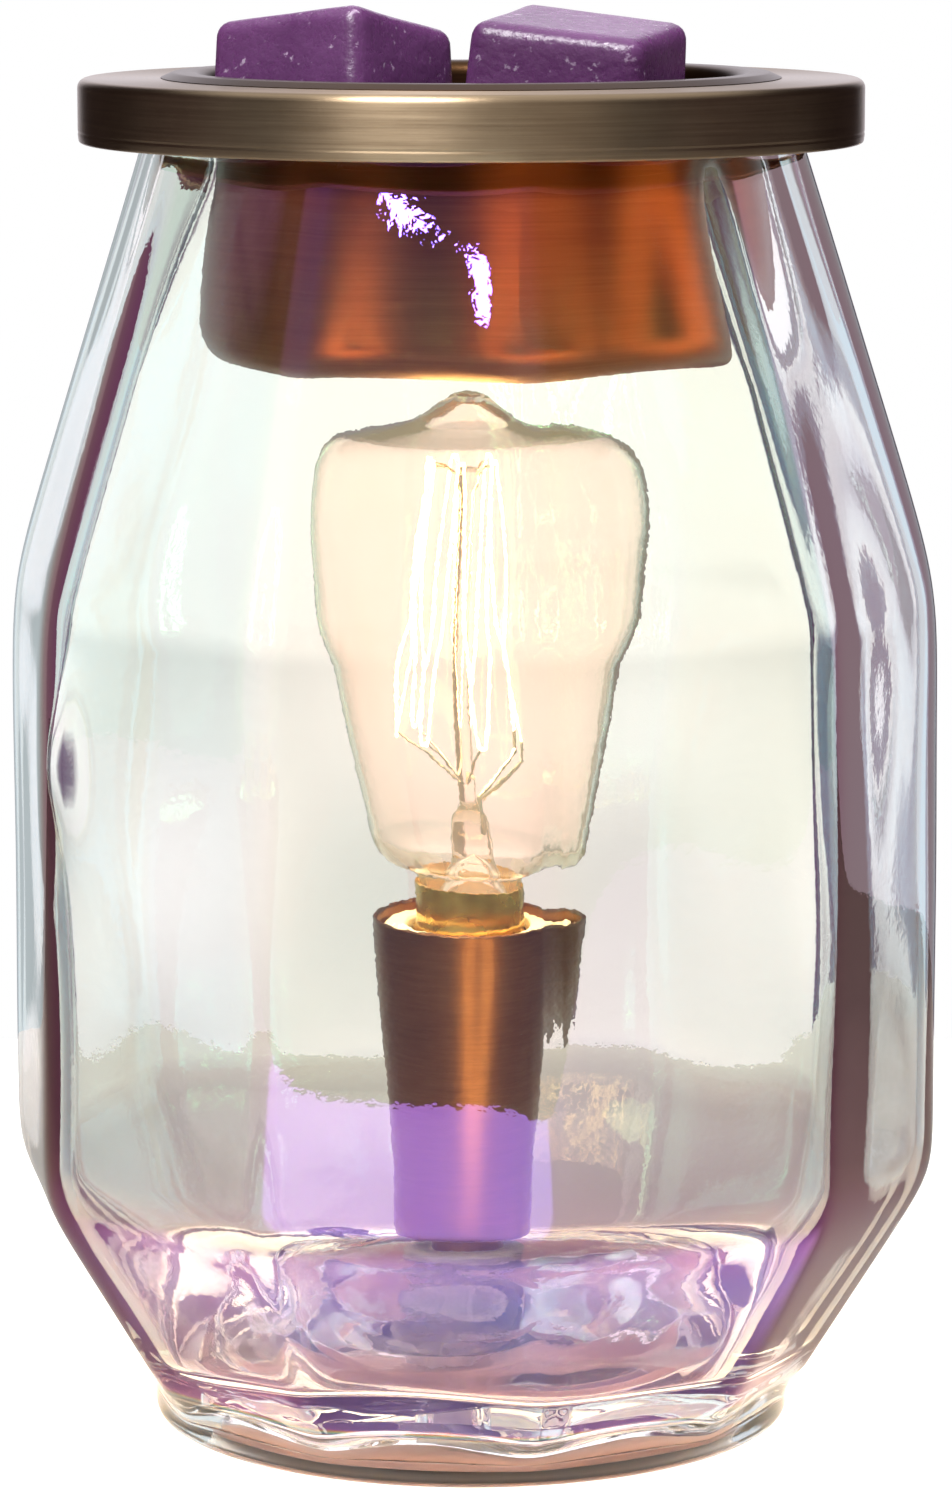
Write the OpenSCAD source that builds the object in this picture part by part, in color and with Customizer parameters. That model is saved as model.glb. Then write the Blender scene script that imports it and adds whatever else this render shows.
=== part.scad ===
// Light bulb wax warmer: a faceted glass jar with a lamp inside, a loose lid ring and a hanging
// wax dish. Millimetres, +Z up, the foot stands on z = 0 and the front faces -Y.

/* [Glass jar] */
// Number of flat panels round the jar (even)
facet_count = 10; // [8:2:12]
// Direction that the front panel faces, degrees to the right of the front
facet_turn = -8; // [-18:1:18]
// Width across the flats of the tall panels
jar_flats = 121; // [112:0.5:130]
// Height of the glass up to its mouth
jar_height = 179.6; // [176:0.2:190]
// Height where the tall panels begin
heel_height = 35; // [30:0.5:42]
// Height where the tall panels end
shoulder_height = 112.5; // [104:0.5:120]
// Inward lean of the lower panels, millimetres per millimetre of height
heel_slope = 0.585; // [0.5:0.005:0.6]
// Width across the flats where the panels meet the lip
neck_flats = 84.4; // [83:0.2:85]
// Glass thickness at the middle of a tall panel
glass_wall = 4; // [3:0.1:5]
// Inside diameter of the round mouth
mouth_bore = 76.8; // [76.2:0.1:78]
// Outside diameter of the round lip
lip_diameter = 87.6; // [86.4:0.1:88]
// Diameter of the round foot
foot_diameter = 86; // [84:0.2:88]
// Height of the raised middle of the glass floor
hub_height = 15; // [14.5:0.1:17]
// Diameter of the raised middle of the glass floor
hub_diameter = 40; // [30:0.5:46]
// Glass thickness through the middle of the floor
hub_thickness = 4.5; // [4:0.1:5]
// Diameter of the hollow under the floor
recess_diameter = 68; // [60:0.5:69]

/* [Base] */
// Thickness of the base cover
cover_thickness = 1.6; // [1.2:0.1:2]
// How far the base cover stays above the table
cover_lift = 0.8; // [0.5:0.1:1]
// Width of the ledge that the base cover rests against
cover_ledge = 1.6; // [1.2:0.1:2]
// Cord bore through the grommet
cord_bore = 5.6; // [5:0.1:5.8]
// Wall of the grommet sleeve
grommet_wall = 0.9; // [0.7:0.1:1]
// Diameter of the grommet flange
grommet_flange = 10.2; // [9.8:0.1:10.6]

/* [Socket] */
// Outside diameter of the threaded nipple
nipple_diameter = 8; // [7:0.1:9]
// Wire bore of the nipple
nipple_bore = 5; // [4:0.1:5.5]
// Thickness of each soft gasket
gasket_thickness = 1; // [0.8:0.1:1.5]
// Height of the spacer under the sleeve
spacer_height = 4.3; // [3.5:0.1:5]
// Diameter of the sleeve at its foot
sleeve_foot_diameter = 20; // [19:0.2:22]
// Diameter of the sleeve at its rim
sleeve_rim_diameter = 27; // [26.4:0.2:29]
// Sheet thickness of the sleeve
sleeve_wall = 0.8; // [0.6:0.05:1]
// Width across the flats of the hexagon nuts
nut_flats = 13; // [12:0.5:14]

/* [Bulb] */
// Largest diameter of the bulb
bulb_diameter = 45.2; // [40:0.2:48]
// Height of the bulb glass above its cap
bulb_glass_height = 67.7; // [64:0.1:72]
// Wall of the bulb glass
bulb_wall = 0.7; // [0.5:0.05:0.9]
// Outside diameter of the bulb cap over its thread
cap_diameter = 16.6; // [16:0.1:17]
// Pitch of the bulb thread
thread_pitch = 2.82; // [2.5:0.02:3]
// Length of the bulb cap shell
cap_length = 18; // [16:0.5:20]
// Length of cap that shows above the sleeve
cap_show = 4.5; // [3:0.1:6]
// Loops of the glowing wire
filament_loops = 6; // [4:1:8]
// Thickness of the glowing wire
filament_thickness = 0.44; // [0.3:0.02:0.6]

/* [Lid and dish] */
// Outside diameter of the lid ring
ring_diameter = 104; // [98:0.5:110]
// Height of the lid ring
ring_height = 8.4; // [7:0.1:10]
// Sheet thickness of the lid ring
ring_sheet = 1; // [0.8:0.1:1.2]
// Outside diameter of the dish wall
dish_diameter = 72; // [70:0.2:72]
// Drop of the dish below the top of the ring
dish_drop = 37.4; // [35:0.2:40]
// Sheet thickness of the dish
dish_sheet = 0.8; // [0.6:0.05:1]
// Diameter of the dish flange
flange_diameter = 82; // [80:0.5:88]
// Space between the tip of the bulb and the dish
bulb_gap = 3.5; // [3.4:0.1:4]

/* [Wax] */
// Width of a wax cube at its base
cube_base = 25.2; // [24:0.1:25.4]
// Width of a wax cube at its top
cube_top = 23.6; // [21:0.1:24]
// Height of a wax cube
cube_height = 21.7; // [19:0.1:22]
// Rounding of the edges of a wax cube
cube_round = 2.3; // [1.5:0.1:3]

/* [Hidden] */
$fn = 96;

// Clearances
sliding_gap = 0.4;
seat_gap = 0.2;
thread_gap = 0.05;
screw_gap = 0.3;

// Colours
bronze = [0.42, 0.33, 0.24];
brass = [0.80, 0.62, 0.28];
steel = [0.70, 0.70, 0.72];
clear_vinyl = [0.84, 0.86, 0.82, 0.6];
porcelain = [0.93, 0.89, 0.80];
wax = [0.49, 0.30, 0.53];
clear_glass = [0.80, 0.88, 0.86, 0.5];

// Glass jar
facet_step = 360 / facet_count;
panel_r = jar_flats / 2;
jar_neck_r = neck_flats / 2;
foot_r = foot_diameter / 2;
lip_r = lip_diameter / 2;
mouth_r = mouth_bore / 2;
lip_height = 6;
facet_top = jar_height - lip_height;
facet_bottom = 1.2;
recess_r = recess_diameter / 2;
recess_rise = 1.8;
hub_r = hub_diameter / 2;
hub_under = hub_height - hub_thickness;
floor_drop = 2.2;
floor_width = 7;
hub_hole_r = nipple_diameter / 2 + 1.2;

// Base
cover_top = cover_lift + cover_thickness;
cover_seat_r = recess_r + cover_ledge;
cord_turn = facet_turn - 4 * facet_step;
sleeve_hole_r = cord_bore / 2 + grommet_wall;
cover_gap = 0.3;
cord_height = cover_top + cover_gap + sleeve_hole_r;
grommet_seat = foot_r - 0.6;
grommet_flange_t = 1.2;

// Socket stack, from the glass floor up and down
nipple_r = nipple_diameter / 2;
gasket_r = 9;
washer_r = 8.5;
washer_t = 0.8;
nut_t = 3.2;
sleeve_bottom = hub_height + gasket_thickness + spacer_height;
sleeve_floor = 1;
nut_gap = 0.5;
nipple_bottom = hub_under - gasket_thickness - washer_t - nut_t - 0.6;

// Heights of the pieces between the sleeve nut and the bulb glass
boss_h = 6;
strap_t = 1.2;
holder_base_t = 6.5;
contact_rise = 1.2;
contact_gap = 0.3;
tip_h = 1;
insulator_h = 3.4;
socket_stack = boss_h + strap_t + holder_base_t + contact_rise + contact_gap + tip_h + insulator_h;
lowest_bulb_base = sleeve_bottom + sleeve_floor + nut_t + nut_gap + socket_stack + cap_length;

// Lid, dish and the heights that hang from them; over a short jar the dish stays above the bulb
ring_r = ring_diameter / 2;
ring_top = jar_height + ring_sheet;
dish_r = dish_diameter / 2;
dish_bottom = max(ring_top - dish_drop, lowest_bulb_base + bulb_glass_height + bulb_gap);
dish_floor = dish_bottom + dish_sheet;
dish_lip = 2.6;
collar_r = dish_r + sliding_gap;
bulb_tip = dish_bottom - bulb_gap;
bulb_base = bulb_tip - bulb_glass_height;
sleeve_top = bulb_base - cap_show;

// Bulb cap and lampholder
cap_r = cap_diameter / 2;
thread_depth = 0.35;
cap_sheet = 0.4;
cap_bottom = bulb_base - cap_length;
contact_bottom = cap_bottom - insulator_h - tip_h;
holder_floor = contact_bottom - contact_rise - contact_gap;
holder_shell_r = cap_r - thread_depth + screw_gap;
holder_shell_sheet = 0.4;
holder_bore_r = holder_shell_r + thread_depth + holder_shell_sheet + 0.1;
holder_top = sleeve_top - 0.8;
holder_bottom = holder_floor - holder_base_t;
boss_bottom = holder_bottom - strap_t - boss_h;
nipple_top = boss_bottom + boss_h - 0.5;

// Bulb inside
neck_r = cap_r - thread_depth - cap_sheet - 0.3;
press_top = bulb_base + 0.1625 * bulb_glass_height;
rod_r = 1.2;
button_r = 2;
filament_r = filament_thickness / 2;
filament_top = bulb_tip - 0.148 * bulb_glass_height;
filament_low = bulb_base + 0.303 * bulb_glass_height;
button_top = filament_top - 1;
hook_top_r = 0.133 * bulb_diameter;
hook_low_r = 0.2125 * bulb_diameter;
filament_start = 35;
filament_sweep = 300;
anchor_r = 0.16;
lead_r = 0.3;

// Wax pile: places of the cubes, how the upper two turn and lean, and how far the lower two have sunk
cube_gap = 1.4;
pair_x = (cube_base + cube_gap) / 2;
lower_left_at = [-pair_x, -0.214 * cube_base, dish_floor];
lower_right_at = [pair_x, -0.159 * cube_base, dish_floor];
left_sunk = 0.5;
right_sunk = 1.3;
left_rise = 0.5;
right_rise = 0.9;
left_at = [-0.726 * cube_base, 0.06 * cube_base, dish_floor + cube_height + left_rise];
left_lean = [-13, 0, 0];
left_turn = -33;
right_at = [0.504 * cube_base, -0.04 * cube_base, dish_floor + cube_height + right_rise];
right_lean = [6, 4.7, 0];
right_turn = -17.5;

// Points along a rounded corner of an outline: each corner is [x, y, radius]
function unit(v) = v / norm(v);
function corner_points(a, b, c, steps) =
    let (
        to_a = unit([a.x - b.x, a.y - b.y]),
        to_c = unit([c.x - b.x, c.y - b.y]),
        half = acos(to_a * to_c) / 2,
        room = 0.45 * min(norm([a.x - b.x, a.y - b.y]), norm([c.x - b.x, c.y - b.y])),
        radius = min(b.z, room * tan(half)),
        centre = [b.x, b.y] + unit(to_a + to_c) * radius / sin(half),
        start = [b.x, b.y] + to_a * radius / tan(half) - centre,
        finish = [b.x, b.y] + to_c * radius / tan(half) - centre,
        first = atan2(start.y, start.x),
        turn = (atan2(finish.y, finish.x) - first + 900) % 360 - 180
    )
    [for (i = [0:steps]) centre + radius * [cos(first + turn * i / steps), sin(first + turn * i / steps)]];
function rounded(corners, steps = 6) =
    let (n = len(corners))
    [for (i = [0:n - 1])
        each corners[i].z > 0
            ? corner_points(corners[(i + n - 1) % n], corners[i], corners[(i + 1) % n], steps)
            : [[corners[i].x, corners[i].y]]];

// A turned piece from its half outline
module turned(corners, steps = 6) {
    rotate_extrude() polygon(rounded(corners, steps));
}

// A flat round washer with a hole
module washer(radius, hole, bottom, height) {
    translate([0, 0, bottom])
        difference() {
            cylinder(r = radius, h = height);
            translate([0, 0, -1]) cylinder(r = hole, h = height + 2);
        }
}

// A hexagon nut on the nipple
module nut(bottom) {
    translate([0, 0, bottom])
        difference() {
            cylinder(d = nut_flats / cos(30), h = nut_t, $fn = 6);
            translate([0, 0, -1]) cylinder(r = nipple_r + thread_gap, h = nut_t + 2);
        }
}

// A round wire along a path, kept from twisting by one outward direction for each point
module wire(path, outward, radius, sides = 6) {
    n = len(path);
    rings = [for (i = [0:n - 1])
        let (
            along = unit(path[min(i + 1, n - 1)] - path[max(i - 1, 0)]),
            side = unit(cross(along, outward[i])),
            up = cross(side, along)
        )
        for (j = [0:sides - 1])
            path[i] + radius * (side * cos(360 * j / sides) + up * sin(360 * j / sides))];
    skin = [for (i = [0:n - 2], j = [0:sides - 1])
        let (k = (j + 1) % sides)
        [i * sides + j, (i + 1) * sides + j, (i + 1) * sides + k, i * sides + k]];
    ends = [[for (j = [0:sides - 1]) j], [for (j = [sides - 1:-1:0]) (n - 1) * sides + j]];
    polyhedron(rings, concat(skin, ends));
}

// A thin screw shell with a rolled round thread; the thread fades out above thread_top
module screw_shell(mean_r, sheet, bottom, top, thread_top) {
    sides = 20;
    steps = ceil(5 * (top - bottom) / thread_pitch);
    heights = [for (i = [0:steps]) bottom + (top - bottom) * i / steps];
    function depth(z) = thread_depth * max(0, min(1, (thread_top - z) / thread_pitch));
    function skin_points(inset) = [for (z = heights, j = [0:sides - 1])
        let (
            a = 360 * j / sides,
            r = mean_r + depth(z) * cos(360 * z / thread_pitch - a) - inset
        )
        [r * cos(a), r * sin(a), z]];
    inner = (steps + 1) * sides;
    skins = [for (i = [0:steps - 1], j = [0:sides - 1])
        let (k = (j + 1) % sides, a = i * sides, b = (i + 1) * sides)
        each [[a + j, b + j, b + k], [a + j, b + k, a + k],
              [inner + a + j, inner + b + k, inner + b + j], [inner + a + j, inner + a + k, inner + b + k]]];
    last = steps * sides;
    rims = [for (j = [0:sides - 1])
        let (k = (j + 1) % sides)
        each [[j, k, inner + k], [j, inner + k, inner + j],
              [last + j, inner + last + k, last + k], [last + j, inner + last + j, inner + last + k]]];
    polyhedron(concat(skin_points(0), skin_points(sheet)), concat(skins, rims));
}

// Place along the cord hole: x runs outward through the back of the foot
module at_cord_hole() {
    rotate([0, 0, cord_turn - 90]) translate([0, 0, cord_height]) rotate([0, 90, 0]) children();
}

// Jar: three rows of flat panels
module panels() {
    bottom_r = panel_r - heel_slope * (heel_height - facet_bottom);
    to_edge = 1 / cos(facet_step / 2);
    rotate([0, 0, facet_turn - 90 + facet_step / 2])
        rotate_extrude($fn = facet_count)
            polygon([
                [0, facet_bottom], [bottom_r * to_edge, facet_bottom], [panel_r * to_edge, heel_height],
                [panel_r * to_edge, shoulder_height], [jar_neck_r * to_edge, facet_top], [0, facet_top]
            ]);
}

module jar_hollow() {
    inside_r = panel_r - glass_wall;
    floor_z = hub_height - floor_drop;
    neck_z = jar_height - 9;
    floor_r = inside_r - (heel_height - floor_z) * heel_slope - 2;
    turned([
        [0, jar_height + 1, 0], [mouth_r, jar_height + 1, 0], [mouth_r, neck_z, 8],
        [inside_r, shoulder_height, 20], [inside_r, heel_height + 1, 14], [floor_r, floor_z, 5],
        [hub_r + floor_width, floor_z, 4], [hub_r, hub_height, 4], [0, hub_height, 0]
    ]);
}

module jar_recess() {
    ceiling = hub_under - recess_rise;
    turned([
        [0, -1, 0], [cover_seat_r, -1, 0], [cover_seat_r, cover_top, 0], [recess_r, cover_top, 0],
        [recess_r, ceiling, 1.5], [hub_r + floor_width, ceiling, 4], [hub_r, hub_under, 4], [0, hub_under, 0]
    ]);
}

module glass_jar() {
    color(clear_glass)
        difference() {
            union() {
                panels();
                turned([[0, 0, 0], [foot_r, 0, 1.6], [foot_r, 7, 0], [0, 7, 0]]);
                turned([
                    [0, facet_top - 2, 0], [lip_r, facet_top - 2, 0], [lip_r, jar_height, 2],
                    [0, jar_height, 0]
                ]);
            }
            jar_hollow();
            jar_recess();
            cylinder(r = hub_hole_r, h = hub_height + 1);
            at_cord_hole() {
                translate([0, 0, recess_r - 4]) cylinder(r = sleeve_hole_r + seat_gap, h = foot_r);
                translate([0, 0, grommet_seat]) cylinder(d = grommet_flange + 2 * seat_gap, h = foot_r);
            }
        }
}

// Base
module base_cover() {
    color(bronze)
        turned([
            [0, cover_lift, 0], [cover_seat_r - seat_gap, cover_lift, 0.4],
            [cover_seat_r - seat_gap, cover_top, 0], [0, cover_top, 0]
        ]);
}

module cord_grommet() {
    inner_end = recess_r - 0.4;
    color(clear_vinyl)
        at_cord_hole()
            difference() {
                union() {
                    translate([0, 0, inner_end]) cylinder(r = sleeve_hole_r, h = grommet_seat - inner_end);
                    translate([0, 0, grommet_seat]) cylinder(d = grommet_flange, h = grommet_flange_t);
                }
                translate([0, 0, inner_end - 1]) cylinder(d = cord_bore, h = foot_r);
            }
}

// Socket
module threaded_nipple() {
    color(steel) washer(nipple_r, nipple_bore / 2, nipple_bottom, nipple_top - nipple_bottom);
}

module lower_gasket() {
    color(clear_vinyl) washer(gasket_r, nipple_r + seat_gap, hub_under - gasket_thickness, gasket_thickness);
}

module steel_washer() {
    color(steel) washer(washer_r, nipple_r + seat_gap, hub_under - gasket_thickness - washer_t, washer_t);
}

module base_nut() {
    color(steel) nut(hub_under - gasket_thickness - washer_t - nut_t);
}

module upper_gasket() {
    color(clear_vinyl) washer(gasket_r, nipple_r + seat_gap, hub_height, gasket_thickness);
}

module sleeve_spacer() {
    color(bronze) washer(nipple_r + 1, nipple_r + seat_gap, hub_height + gasket_thickness, spacer_height);
}

module socket_sleeve() {
    foot = sleeve_foot_diameter / 2;
    rim = sleeve_rim_diameter / 2;
    hole = nipple_r + seat_gap;
    color(bronze)
        turned([
            [hole, sleeve_bottom, 0], [foot, sleeve_bottom, 1.8], [rim, sleeve_top, 0.35],
            [rim - sleeve_wall, sleeve_top, 0.35], [foot - sleeve_wall, sleeve_bottom + sleeve_floor, 1],
            [hole, sleeve_bottom + sleeve_floor, 0]
        ]);
}

module sleeve_nut() {
    color(steel) nut(sleeve_bottom + sleeve_floor);
}

// Radius inside the tapered sleeve at a height
function sleeve_inside(z) =
    let (part = (z - sleeve_bottom) / (sleeve_top - sleeve_bottom))
    sleeve_foot_diameter / 2 + part * (sleeve_rim_diameter - sleeve_foot_diameter) / 2 - sleeve_wall;

module lampholder_bracket() {
    strap_length = 2 * sleeve_inside(holder_bottom) - 3;
    strap_width = 6.4;
    color(brass)
        difference() {
            union() {
                translate([0, 0, boss_bottom]) cylinder(r = nipple_r + 1.2, h = boss_h);
                translate([-strap_width / 2, -strap_length / 2, holder_bottom - strap_t])
                    cube([strap_width, strap_length, strap_t]);
            }
            translate([0, 0, boss_bottom - 1]) cylinder(r = nipple_r + thread_gap, h = boss_h + 1);
            cylinder(d = nipple_bore, h = holder_bottom + 1);
        }
}

module lampholder_body() {
    wire_hole_r = nipple_bore / 2;
    color(porcelain)
        turned([
            [wire_hole_r, holder_bottom, 0], [sleeve_inside(holder_bottom) - sliding_gap, holder_bottom, 0.8],
            [sleeve_inside(holder_top) - sliding_gap, holder_top, 0.8], [holder_bore_r, holder_top, 0.5],
            [holder_bore_r, holder_floor, 0], [wire_hole_r, holder_floor, 0]
        ]);
}

module lampholder_shell() {
    top = holder_top - 1;
    color(brass)
        screw_shell(
            holder_shell_r + holder_shell_sheet, holder_shell_sheet, cap_bottom - 1, top,
            top + 2 * thread_pitch
        );
}

module lampholder_contact() {
    width = 5;
    reach = holder_shell_r - 1.6;
    sheet = 0.5;
    color(brass)
        translate([0, 0, holder_floor])
            rotate([90, 0, 0])
                linear_extrude(height = width, center = true)
                    polygon([
                        [-reach, 0], [-reach / 3, 0], [-reach / 3 + 1.5, contact_rise - sheet],
                        [2.2, contact_rise - sheet], [2.2, contact_rise], [-reach / 3 + 1.2, contact_rise],
                        [-reach / 3 - 0.3, sheet], [-reach, sheet]
                    ]);
}

module terminal_screws() {
    head_r = 1.7;
    head_h = 1.6;
    at = nipple_r + 1.2 + head_r + 0.3;
    color(brass)
        for (side = [-1, 1])
            translate([side * at, 0, holder_bottom - head_h])
                difference() {
                    cylinder(r = head_r, h = head_h);
                    translate([-head_r, -0.25, -1]) cube([2 * head_r, 0.5, 1.6]);
                }
}

// Bulb
function bulb_r(part) = part * bulb_diameter / 2;
function bulb_z(part) = bulb_base + part * bulb_glass_height;
function bulb_outline(inset) = [
    [neck_r - inset, bulb_base - 4, 0], [neck_r - inset, bulb_z(0.02), 2.5],
    [bulb_r(0.575) - inset, bulb_z(0.045) + inset, 6], [bulb_r(0.93) - inset, bulb_z(0.55), 80],
    [bulb_r(1.005) - inset, bulb_z(0.76), 40], [bulb_r(0.93) - inset, bulb_z(0.885), 8],
    [bulb_r(0.34), bulb_z(0.935) - inset, 10], [bulb_r(0.11), bulb_z(0.99) - 2 * inset, 1.2],
    [0, bulb_z(1) - 3 * inset, 0]
];

module bulb_envelope() {
    color(clear_glass)
        difference() {
            turned(concat(bulb_outline(0), [[0, bulb_base - 4, 0]]), 8);
            turned(
                concat(
                    bulb_outline(bulb_wall),
                    [[0, bulb_base - 5, 0], [neck_r - bulb_wall, bulb_base - 5, 0]]
                ), 8
            );
        }
}

module bulb_stem() {
    flare_r = neck_r - bulb_wall - 0.2;
    color(clear_glass)
        turned([
            [flare_r - 0.8, bulb_base - 3.5, 0], [flare_r, bulb_base - 3.5, 0], [3, bulb_base + 2, 4],
            [2.6, press_top - 2, 2], [rod_r, press_top, 2], [rod_r, button_top - 3, 0.5],
            [button_r, button_top - 1.6, 0.8], [button_r, button_top, 0.8], [0, button_top, 0],
            [0, bulb_base + 4, 0], [1.8, bulb_base + 2, 3]
        ]);
}

// Places on the cage: the glowing wire runs low, high, low, ... round the stem
function polar(radius, angle, z) = [radius * cos(angle), radius * sin(angle), z];
function low_angle(i) = filament_start + filament_sweep * i / filament_loops;
function high_angle(i) = low_angle(i + 0.5);
function bend(radius, angle, z, dip) =
    [for (s = [-1, -0.5, 0, 0.5, 1])
        polar(radius, angle + s * 5, z - dip * s * s)];

module bulb_filament() {
    path = [for (i = [0:filament_loops])
        each concat(
            i == 0 || i == filament_loops
                ? [polar(hook_low_r, low_angle(i), filament_low + 0.5)]
                : bend(hook_low_r, low_angle(i), filament_low, -0.8),
            i < filament_loops ? bend(hook_top_r, high_angle(i), filament_top, 0.8) : []
        )];
    outward = [for (p = path) [p.x, p.y, 0]];
    color([1, 0.7, 0.3]) wire(path, outward, filament_r);
}

module hook(from, to, angle) {
    around = [-sin(angle), cos(angle), 0];
    middle = (from + to) / 2 + [0, 0, 0.6];
    wire([from, middle, to], [around, around, around], anchor_r, 5);
}

module bulb_anchor_wires() {
    reach = filament_r + anchor_r + 0.05;
    color(steel) {
        for (i = [0:filament_loops - 1])
            hook(
                polar(button_r - 0.4, high_angle(i), button_top - 1),
                polar(hook_top_r, high_angle(i), filament_top - reach), high_angle(i)
            );
        for (i = [1:filament_loops - 1])
            hook(
                polar(rod_r - 0.4, low_angle(i), press_top + 3),
                polar(hook_low_r, low_angle(i), filament_low + reach), low_angle(i)
            );
    }
}

module bulb_lead_wires() {
    color(steel)
        for (i = [0, filament_loops]) {
            angle = low_angle(i);
            around = [-sin(angle), cos(angle), 0];
            path = [
                polar(1.5, angle, press_top - 4), polar(1.9, angle, press_top + 1),
                polar(hook_low_r, angle, filament_low - 2), polar(hook_low_r, angle, filament_low + 0.45)
            ];
            wire(path, [around, around, around, around], lead_r);
        }
}

module bulb_screw_shell() {
    color(brass)
        screw_shell(cap_r - thread_depth, cap_sheet, cap_bottom, bulb_base - 0.1, bulb_base - 4);
}

module bulb_cap_insulator() {
    top_r = cap_r - 2 * thread_depth - 0.2;
    color([0.10, 0.10, 0.11])
        turned([
            [0, cap_bottom - insulator_h, 0], [4.6, cap_bottom - insulator_h, 0.5],
            [top_r, cap_bottom - 0.05, 0], [0, cap_bottom - 0.05, 0]
        ]);
}

module bulb_tip_contact() {
    color(brass)
        turned([
            [0, contact_bottom, 0], [3, contact_bottom, 0.7], [3.4, cap_bottom - insulator_h, 0],
            [0, cap_bottom - insulator_h, 0]
        ]);
}

// Lid ring: skirt, flat top and a collar that hangs in the mouth
module lid_ring() {
    collar_depth = 7;
    hem = 0.5;
    skirt_bottom = ring_top - ring_height;
    color(bronze)
        turned([
            [ring_r, skirt_bottom, 0.3], [ring_r, skirt_bottom + 1.1, 0],
            [ring_r - 0.2, skirt_bottom + 1.3, 0], [ring_r, skirt_bottom + 1.5, 0],
            [ring_r, ring_top, 1.2], [collar_r, ring_top, 2],
            [collar_r, ring_top - collar_depth, 0.4], [collar_r + ring_sheet, ring_top - collar_depth, 0.4],
            [collar_r + ring_sheet, ring_top - ring_sheet, 1],
            [ring_r - ring_sheet, ring_top - ring_sheet, 0.4],
            [ring_r - ring_sheet, skirt_bottom + 1.8, 0],
            [ring_r - ring_sheet - hem, skirt_bottom + 1.5, 0], [ring_r - ring_sheet - hem, skirt_bottom, 0.3]
        ]);
}

module wax_dish() {
    corner = 5;
    flange_r = flange_diameter / 2;
    color(bronze)
        turned([
            [0, dish_bottom, 0], [dish_r, dish_bottom, corner], [dish_r, ring_top, dish_lip - dish_sheet],
            [flange_r, ring_top, 0.2], [flange_r, ring_top + dish_sheet, 0.4],
            [dish_r - dish_sheet, ring_top + dish_sheet, dish_lip],
            [dish_r - dish_sheet, dish_floor, corner - dish_sheet], [0, dish_floor, 0]
        ]);
}

// Wax cubes: a lower pair on the dish floor and an upper pair leaning on it
module wax_block(height) {
    module post(width, z) {
        reach = width / 2 - cube_round;
        for (x = [-reach, reach], y = [-reach, reach]) translate([x, y, z]) sphere(r = cube_round, $fn = 20);
    }
    color(wax)
        hull() {
            post(cube_base, cube_round);
            post(cube_top, height - cube_round);
        }
}

module wax_cube_left() {
    translate(left_at) rotate(left_lean) rotate([0, 0, left_turn]) wax_block(cube_height);
}

module wax_cube_right() {
    translate(right_at) rotate(right_lean) rotate([0, 0, right_turn]) wax_block(cube_height);
}

module wax_cubes_lower() {
    translate(lower_left_at) wax_block(cube_height - left_sunk);
    translate(lower_right_at) wax_block(cube_height - right_sunk);
}

glass_jar();
base_cover();
cord_grommet();
threaded_nipple();
lower_gasket();
steel_washer();
base_nut();
upper_gasket();
sleeve_spacer();
socket_sleeve();
sleeve_nut();
lampholder_bracket();
lampholder_body();
lampholder_shell();
lampholder_contact();
terminal_screws();
bulb_envelope();
bulb_stem();
bulb_filament();
bulb_anchor_wires();
bulb_lead_wires();
bulb_screw_shell();
bulb_cap_insulator();
bulb_tip_contact();
lid_ring();
wax_dish();
wax_cube_left();
wax_cube_right();
wax_cubes_lower();
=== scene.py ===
"""Looks of the light bulb wax warmer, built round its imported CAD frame."""

import math

import bmesh
import bpy
import numpy as np
from mathutils import Matrix, Vector, noise


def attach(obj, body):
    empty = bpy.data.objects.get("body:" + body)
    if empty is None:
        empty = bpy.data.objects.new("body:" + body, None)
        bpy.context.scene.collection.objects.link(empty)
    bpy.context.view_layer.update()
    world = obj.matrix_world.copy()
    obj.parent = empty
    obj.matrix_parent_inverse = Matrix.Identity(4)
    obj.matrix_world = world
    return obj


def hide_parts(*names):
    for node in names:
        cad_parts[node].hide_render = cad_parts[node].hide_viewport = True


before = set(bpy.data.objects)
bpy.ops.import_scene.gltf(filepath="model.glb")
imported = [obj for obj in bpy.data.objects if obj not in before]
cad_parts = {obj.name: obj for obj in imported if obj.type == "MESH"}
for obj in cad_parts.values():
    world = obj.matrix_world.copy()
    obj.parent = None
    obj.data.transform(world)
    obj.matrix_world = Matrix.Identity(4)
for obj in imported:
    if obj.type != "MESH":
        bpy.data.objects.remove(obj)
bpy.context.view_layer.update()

# Sizes in millimetres, as in the part's source
MM = 0.001
FACETS = 10
FACET_TURN = -8
PANEL_R = 60.5
NECK_R = 42.2
HEEL_Z = 35.0
SHOULDER_Z = 112.5
HEEL_SLOPE = 0.585
FACET_TOP = 173.6
JAR_TOP = 179.6
LIP_R = 43.8
MOUTH_R = 38.4
FOOT_R = 43.0
FOOT_ROUND = 1.6
INSIDE_R = 56.5
FLOOR_R = 41.5
FLOOR_Z = 12.8
HUB_Z = 15.0
HUB_R = 20.0
HUB_RAMP = 7.0
HUB_HOLE_R = 5.2
HUB_UNDER = 10.5
RECESS_R = 34.0
RECESS_TOP = 8.7
COVER_SEAT_R = 35.6
COVER_BOTTOM = 0.8
COVER_TOP = 2.4
CORD_TURN = -152
CORD_Z = 6.4
CORD_HOLE_R = 3.9
FLANGE_SEAT = 42.4
FLANGE_HOLE_R = 5.3
SLEEVE_BOTTOM = 20.3
SLEEVE_TOP = 67.5
SLEEVE_FOOT_R = 10.0
SLEEVE_RIM_R = 13.5
SLEEVE_WALL = 0.8
NIPPLE_HOLE_R = 4.2
BULB_BASE = 72.0
BULB_HEIGHT = 67.7
BULB_R = 22.6
BULB_WALL = 0.7
BULB_NECK_R = 7.25
BULB_NECK = 4.0
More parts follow.
